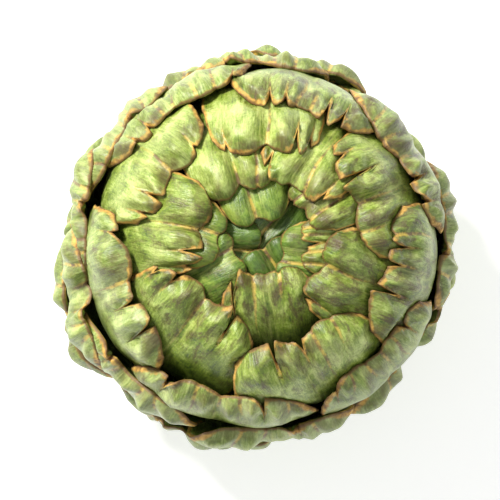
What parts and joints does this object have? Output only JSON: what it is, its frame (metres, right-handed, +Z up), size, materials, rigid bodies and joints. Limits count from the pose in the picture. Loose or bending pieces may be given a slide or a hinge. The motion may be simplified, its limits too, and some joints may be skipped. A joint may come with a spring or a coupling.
{
  "type": "artichoke",
  "caption": "Whole green globe artichoke trimmed to a short stem, squat head of thick overlapping bracts with notched tips and dry torn tan edges, standing on its flat cut stem.",
  "frame": {"origin": "middle of the flat cut face of the stem", "axes": "+Z up through the crown; the artichoke stands on the cut stem face at Z = 0"},
  "size_m": [0.1299, 0.1305, 0.0985],
  "materials": {
    "bract_green": "satin",
    "stem_flesh": "matt"
  },
  "bodies": {
    "root": {"stem_and_heart": "stem_flesh", "bud_bract_1": "bract_green", "bud_bract_2": "bract_green", "bud_bract_3": "bract_green", "core_bract_1": "bract_green", "core_bract_2": "bract_green", "core_bract_3": "bract_green", "core_bract_4": "bract_green", "core_bract_5": "bract_green", "crown_bract_1": "bract_green", "crown_bract_2": "bract_green", "crown_bract_3": "bract_green", "crown_bract_4": "bract_green", "crown_bract_5": "bract_green", "crown_bract_6": "bract_green", "crown_bract_7": "bract_green", "shoulder_bract_1": "bract_green", "shoulder_bract_2": "bract_green", "shoulder_bract_3": "bract_green", "shoulder_bract_4": "bract_green", "outer_bract_1": "bract_green", "outer_bract_2": "bract_green", "outer_bract_3": "bract_green", "outer_bract_4": "bract_green", "outer_bract_5": "bract_green", "outer_bract_6": "bract_green", "rim_bract_1": "bract_green", "rim_bract_2": "bract_green", "rim_bract_3": "bract_green", "rim_bract_4": "bract_green", "rim_bract_5": "bract_green", "rim_bract_6": "bract_green", "rim_bract_7": "bract_green", "rim_bract_8": "bract_green", "skirt_bract_1": "bract_green", "skirt_bract_2": "bract_green", "skirt_bract_3": "bract_green", "skirt_bract_4": "bract_green", "skirt_bract_5": "bract_green", "skirt_bract_6": "bract_green", "skirt_bract_7": "bract_green", "skirt_bract_8": "bract_green", "skirt_bract_9": "bract_green", "base_bract_1": "bract_green", "base_bract_2": "bract_green", "base_bract_3": "bract_green", "base_bract_4": "bract_green", "base_bract_5": "bract_green", "base_bract_6": "bract_green", "base_bract_7": "bract_green"}
  },
  "joints": []
}
